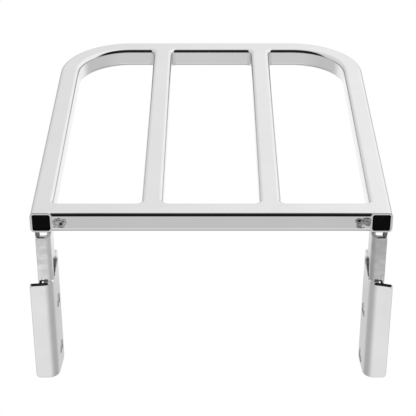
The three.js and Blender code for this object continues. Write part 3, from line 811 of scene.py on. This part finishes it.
# ---------------------------------------------------------------------------------------------
# Floor: a wide table of opal acrylic lit from below, which curves up into the backdrop. It is
# plain white, takes no shadow, and the chrome doesn't mirror it: the studio below stands for it.
# ---------------------------------------------------------------------------------------------
FLOOR_DROP = 1.2  # metres, as are the next five
FLOOR_REACH = 12.0
BACKDROP_BEND = 6.0
BACKDROP_HEIGHT = 24.0
MIDDLE_RING = 3.0
POLE = 0.01
SWEEP_SIDES = 64
SWEEP_STEPS = 12


def sweep_floor():
    """Flat disc, a quarter circle up, an upright wall and a flat lid: a profile turned round the
    upright axis."""
    turn = np.linspace(0, np.pi / 2, SWEEP_STEPS + 1)
    curve = FLOOR_REACH + BACKDROP_BEND * np.sin(turn[1:])
    radius = np.concatenate([[POLE, MIDDLE_RING, FLOOR_REACH], curve])
    height = np.concatenate([[0, 0, 0], BACKDROP_BEND * (1 - np.cos(turn[1:]))])
    radius = np.append(radius, [radius[-1], POLE])
    height = np.append(height, [BACKDROP_HEIGHT, BACKDROP_HEIGHT])
    angle = np.linspace(0, 2 * np.pi, SWEEP_SIDES, endpoint=False)[None, :]
    rings = np.stack([radius[:, None] * np.cos(angle), radius[:, None] * np.sin(angle),
                      height[:, None] - FLOOR_DROP + 0 * angle], -1)
    return rings.reshape(-1, 3).tolist(), grid_faces(len(radius), SWEEP_SIDES, False, True).tolist()


opal = bpy.data.materials.new("opal_acrylic_lit_from_below")
opal.use_nodes = True
opal.node_tree.nodes.clear()
glow = node(opal.node_tree, "ShaderNodeEmission", inputs={"Color": linear("#ffffff"), "Strength": 1.0})
node(opal.node_tree, "ShaderNodeOutputMaterial", inputs={"Surface": glow.outputs["Emission"]})
floor_mesh = bpy.data.meshes.new("light_table")
floor_points, floor_faces = sweep_floor()
floor_mesh.from_pydata(floor_points, [], floor_faces)
floor_mesh.materials.append(opal)
floor = bpy.data.objects.new("light_table", floor_mesh)
bpy.context.scene.collection.objects.link(floor)
floor.visible_glossy = False
floor.visible_diffuse = False
floor.visible_shadow = False


# ---------------------------------------------------------------------------------------------
# Studio light, which is all that chrome shows: a plain soft room. Back and side walls are bright
# over a greyer band at the horizon, the front is a dark drape that lightens up to the ceiling, and
# the floor is lit in broad steps. The light depends on direction only.
# ---------------------------------------------------------------------------------------------
# Each pair is an elevation in degrees, from straight down to straight up, and a radiance.
BACK_LIGHT = [
    (-90, 0.50), (-50, 0.60), (-40, 0.70), (-33.4, 0.70), (-31.6, 0.97), (-20, 0.97), (-12, 0.90),
    (-3, 0.52), (3, 0.52), (10, 0.84), (20, 0.92), (50, 0.93), (76, 0.98), (86, 0.90), (90, 0.70),
]
SIDE_LIGHT = [
    (-90, 0.45), (-40, 0.48), (-33, 0.52), (-29, 0.60), (-15, 0.66), (-8, 0.60), (0, 0.50), (10, 0.84),
    (20, 0.90), (84, 0.86), (90, 0.60),
]
FRONT_LIGHT = [
    (-90, 0.50), (-52, 0.60), (-42, 0.92), (-33.4, 0.92), (-31.9, 0.63), (-30, 0.63), (-25, 0.69),
    (-14, 0.69), (-8, 0.03), (-4, 0.012), (48, 0.012), (58, 0.03), (73, 0.19), (84, 0.52), (90, 0.70),
]
# Azimuths are in degrees from the rear's direction: each pair is where one light starts to give way
# to the next, and where it is gone.
SIDE_STARTS = (40, 75)  # from the back wall to a side
DARK_STARTS = (92, 120)  # from a side to the dark front, above the floor
FRONT_FLOOR_STARTS = (105, 170)  # from the side's floor to the front's
FLOOR_STARTS = (0.02, -0.12)  # sine of the elevation, from the walls to the floor
WALL_TILT = 0.14  # the walls are brighter towards the right by this share
TILT_REACH = 0.25  # and this far to each side of the middle, as a sine, it is all there

world = bpy.data.worlds.new("studio")
bpy.context.scene.world = world
world.use_nodes = True
studio = world.node_tree
studio.nodes.clear()
direction = node(studio, "ShaderNodeTexCoord").outputs["Generated"]
split = node(studio, "ShaderNodeSeparateXYZ", inputs={"Vector": direction})
arcsine = node(studio, "ShaderNodeMath", {"operation": "ARCSINE"}, {0: split.outputs["Z"]})
height = node(studio, "ShaderNodeMapRange", inputs={"Value": arcsine.outputs[0], "From Min": -math.pi / 2,
              "From Max": math.pi / 2})
azimuth = node(studio, "ShaderNodeMath", {"operation": "ARCTAN2"},
               {0: split.outputs["X"], 1: split.outputs["Y"]})
turn_away = node(studio, "ShaderNodeMath", {"operation": "ABSOLUTE"}, {0: azimuth.outputs[0]})

# Colour ramps over the elevation, one for each direction.
lights = {}
for wall, stops in (("back", BACK_LIGHT), ("side", SIDE_LIGHT), ("front", FRONT_LIGHT)):
    ramp = node(studio, "ShaderNodeValToRGB", inputs={"Fac": height.outputs["Result"]})
    elements = ramp.color_ramp.elements
    elements[0].position, elements[1].position = 0.0, 1.0
    elements[0].color = (stops[0][1],) * 3 + (1.0,)
    elements[1].color = (stops[-1][1],) * 3 + (1.0,)
    for angle, radiance in stops[1:-1]:
        elements.new((angle + 90) / 180).color = (radiance,) * 3 + (1.0,)
    lights[wall] = ramp.outputs["Color"]

# Smooth steps from 0 at each pair's first value to 1 at its second.
steps = {}
for zone, value, (start, end) in (
    ("below", split.outputs["Z"], FLOOR_STARTS),
    ("to_side", turn_away.outputs[0], np.radians(SIDE_STARTS)),
    ("to_dark", turn_away.outputs[0], np.radians(DARK_STARTS)),
    ("to_front_floor", turn_away.outputs[0], np.radians(FRONT_FLOOR_STARTS)),
):
    step = node(studio, "ShaderNodeMapRange", {"interpolation_type": "SMOOTHSTEP"},
                {"Value": value, "From Min": start, "From Max": end})
    steps[zone] = step.outputs["Result"]

# The walls pass from back to side and on to the front. The front starts farther round on the floor.
to_front = node(studio, "ShaderNodeMix", {"data_type": "FLOAT"},
                {"Factor": steps["below"], 2: steps["to_dark"], 3: steps["to_front_floor"]})
walls = node(studio, "ShaderNodeMix", {"data_type": "RGBA"},
             {"Factor": steps["to_side"], 6: lights["back"], 7: lights["side"]})
room = node(studio, "ShaderNodeMix", {"data_type": "RGBA"},
            {"Factor": to_front.outputs[0], 6: walls.outputs[2], 7: lights["front"]})
tilt = node(studio, "ShaderNodeMapRange", inputs={"Value": split.outputs["X"], "From Min": -TILT_REACH,
            "From Max": TILT_REACH, "To Min": 1 - WALL_TILT, "To Max": 1 + WALL_TILT})
not_wall = node(studio, "ShaderNodeMath", {"operation": "MAXIMUM"},
                {0: to_front.outputs[0], 1: steps["below"]})
power = node(studio, "ShaderNodeMix", {"data_type": "FLOAT"},
             {"Factor": not_wall.outputs[0], 2: tilt.outputs["Result"], 3: 1.0})
light = node(studio, "ShaderNodeBackground",
             inputs={"Color": room.outputs[2], "Strength": power.outputs[0]})
node(studio, "ShaderNodeOutputWorld", inputs={"Surface": light.outputs["Background"]})
